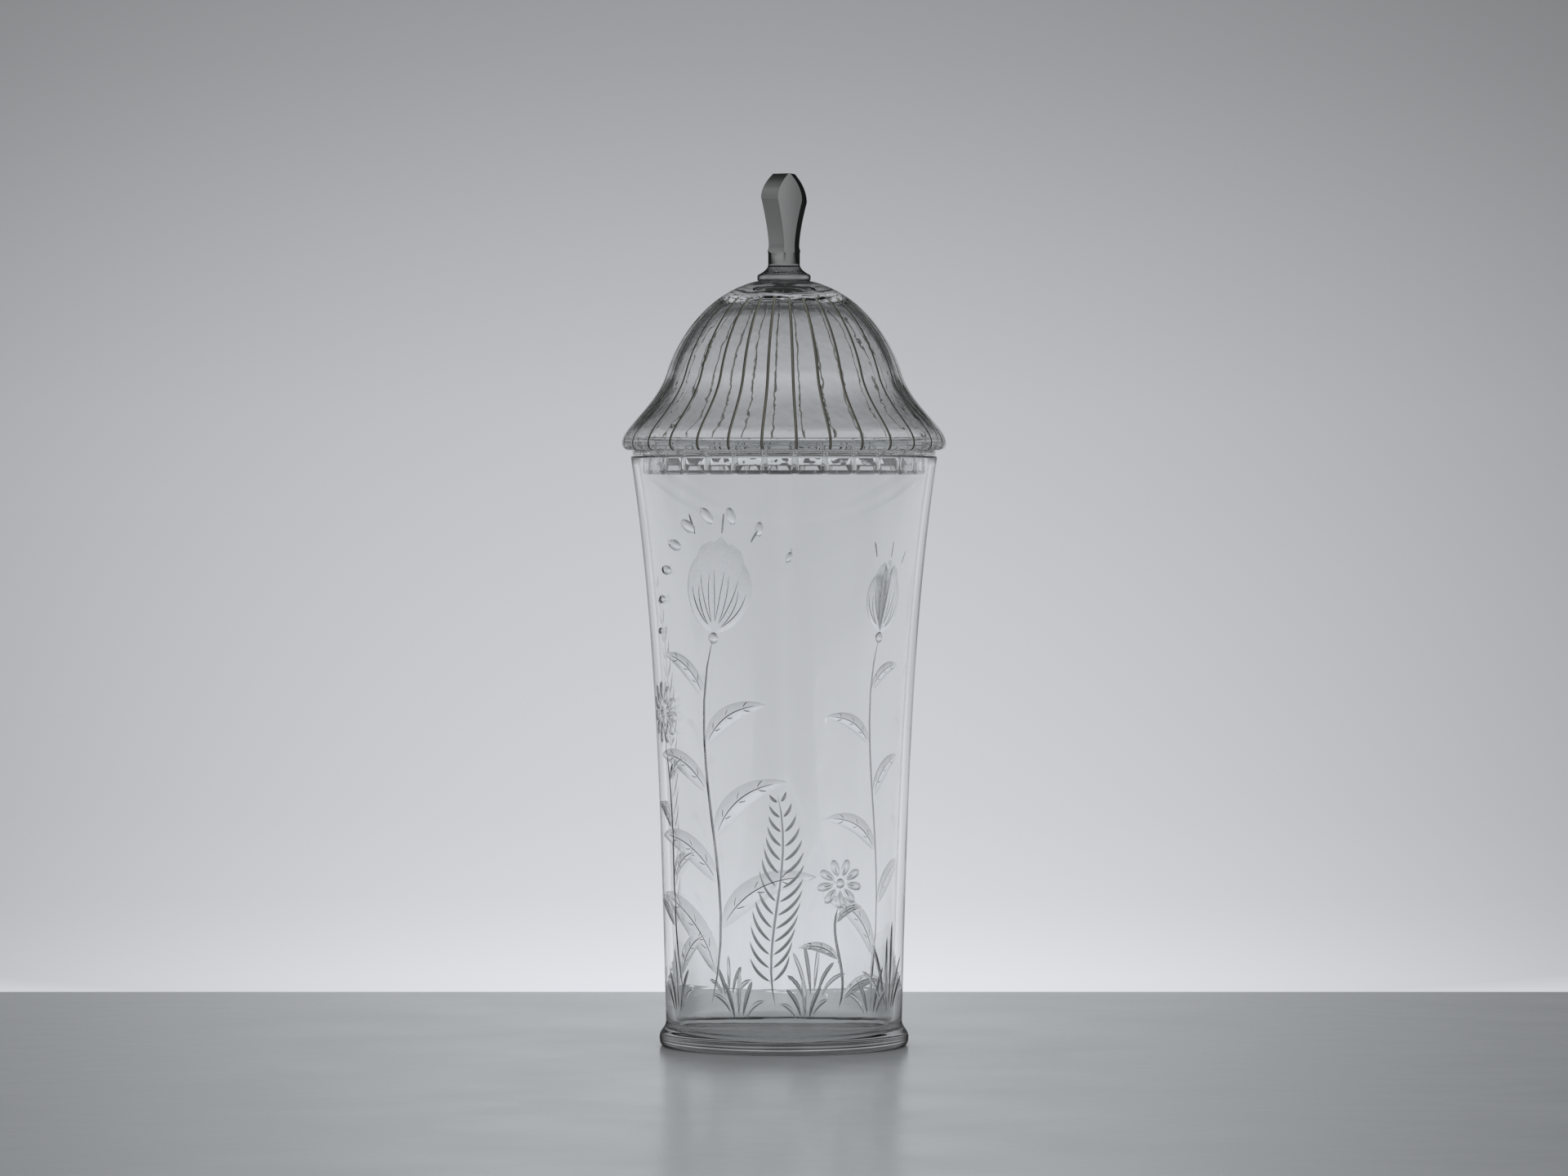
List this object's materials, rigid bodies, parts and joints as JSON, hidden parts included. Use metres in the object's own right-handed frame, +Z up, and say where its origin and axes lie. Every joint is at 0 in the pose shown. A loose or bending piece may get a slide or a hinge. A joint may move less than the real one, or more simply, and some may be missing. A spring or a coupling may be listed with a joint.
{
  "type": "covered vase",
  "caption": "Clear glass vase on a thick foot, with a lift-off bell-shaped lid that has cut grooves, a notched flange inside the mouth and a faceted knob.",
  "frame": {"origin": "centre of the foot, on the surface that the vase stands on", "axes": "+Z up along the vase's axis, -Y towards the front"},
  "size_m": [0.123, 0.123, 0.3308],
  "materials": {
    "vase_glass": "clear polished blown glass with a slight grey tint",
    "lid_glass": "clear polished blown glass with matte cut grooves",
    "knob_glass": "solid clear grey glass, cut and polished on its faces"
  },
  "bodies": {
    "vase": {"foot": "vase_glass", "vase_body": "vase_glass"},
    "lid": {"lid_dome": "lid_glass", "lid_flange": "lid_glass", "finial_button": "lid_glass", "finial_knob": "knob_glass"}
  },
  "joints": [
    {"name": "lid_lift", "type": "slide", "parent": "vase", "child": "lid", "axis": [0, 0, 1], "range_m": [0, 0.12]}
  ]
}
